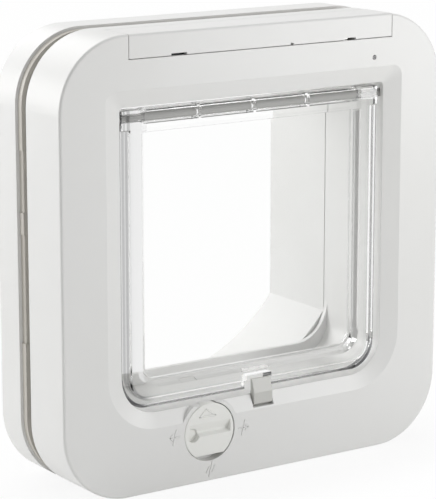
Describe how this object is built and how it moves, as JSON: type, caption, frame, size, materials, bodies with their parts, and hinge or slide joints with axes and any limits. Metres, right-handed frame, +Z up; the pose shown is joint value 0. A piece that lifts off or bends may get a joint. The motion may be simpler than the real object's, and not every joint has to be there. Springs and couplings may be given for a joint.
{
  "type": "cat flap",
  "caption": "Square pet door in two off-white halves that clamp a door panel, with a clear flap hinged at the top, a rising latch, a lock knob and a battery bay over the flap.",
  "frame": {"origin": "centre of the door cut-out on the indoor face of the door panel", "axes": "+Y outdoors through the panel, +X to the right seen from indoors, +Z up"},
  "size_m": [0.21, 0.099, 0.21],
  "materials": {
    "shell_plastic": "fine satin off-white",
    "clear_plastic": "polished clear, faint grey tint",
    "inner_plastic": "satin off-white",
    "knob_plastic": "satin off-white",
    "hard_plastic": "natural acetal",
    "gear_plastic": "natural nylon",
    "steel_rod": "drawn steel",
    "screw_steel": "zinc plated",
    "spring_steel": "nickel plated",
    "contact_sheet": "nickel plated sheet",
    "cell_wrap": "plain printed sleeve",
    "board_green": "solder mask",
    "chip_black": "moulded epoxy",
    "coil_copper": "enamelled copper winding",
    "motor_steel": "drawn can",
    "switch_black": "moulded housing",
    "button_red": "moulded cap",
    "lamp_clear": "tinted lens",
    "pipe_clear": "clear light pipe"
  },
  "bodies": {
    "housing": {"front_cover": "shell_plastic", "rear_housing": "shell_plastic", "hinge_rod": "steel_rod", "latch_motor": "motor_steel", "battery_tray": "inner_plastic", "battery_cell_1": "cell_wrap", "battery_cell_2": "cell_wrap", "battery_cell_3": "cell_wrap", "battery_cell_4": "cell_wrap", "battery_springs": "spring_steel", "battery_contacts": "contact_sheet", "light_board": "board_green", "status_light": "lamp_clear", "light_pipe": "pipe_clear", "reader_coil": "coil_copper", "control_board": "board_green", "board_parts": "chip_black", "button_switch": "switch_black", "outdoor_frame": "shell_plastic", "panel_screws": "screw_steel", "screw_caps": "shell_plastic", "cover_screws": "screw_steel"},
    "flap": {"flap": "clear_plastic"},
    "latch": {"latch": "hard_plastic"},
    "pinion": {"motor_pinion": "gear_plastic", "motor_shaft": "steel_rod"},
    "knob": {"lock_knob": "knob_plastic", "lock_cam": "gear_plastic", "knob_screw": "screw_steel"},
    "bolt": {"lock_bolt": "hard_plastic"},
    "lid": {"battery_lid": "shell_plastic"},
    "button": {"pairing_button": "button_red"}
  },
  "joints": [
    {"name": "flap_swing", "type": "hinge", "parent": "housing", "child": "flap", "pos_m": [0, -0.0215, 0.067], "axis": [1, 0, 0], "range_deg": [-85, 85]},
    {"name": "latch_slide", "type": "slide", "parent": "housing", "child": "latch", "axis": [0, 0, 1], "range_m": [0, 0.005]},
    {"name": "pinion_spin", "type": "hinge", "parent": "housing", "child": "pinion", "pos_m": [0.0158, -0.0239, -0.088], "axis": [0, 1, 0], "range_deg": [0, 59.68]},
    {"name": "knob_turn", "type": "hinge", "parent": "housing", "child": "knob", "pos_m": [-0.0276, -0.02, -0.0812], "axis": [0, -1, 0], "range_deg": [0, 270]},
    {"name": "bolt_slide", "type": "slide", "parent": "housing", "child": "bolt", "axis": [0, 0, 1], "range_m": [0, 0.005]},
    {"name": "lid_slide", "type": "slide", "parent": "housing", "child": "lid", "axis": [0, 0, 1], "range_m": [0, 0.03]},
    {"name": "button_press", "type": "slide", "parent": "housing", "child": "button", "axis": [0, 0, -1], "range_m": [0, 0.0008], "stiffness_N_per_m": 300}
  ],
  "couplings": [
    {"joint": "pinion_spin", "follows": "latch_slide", "rad_per_m": 208.33},
    {"joint": "bolt_slide", "follows": "knob_turn", "m_per_rad": 0.001061}
  ]
}
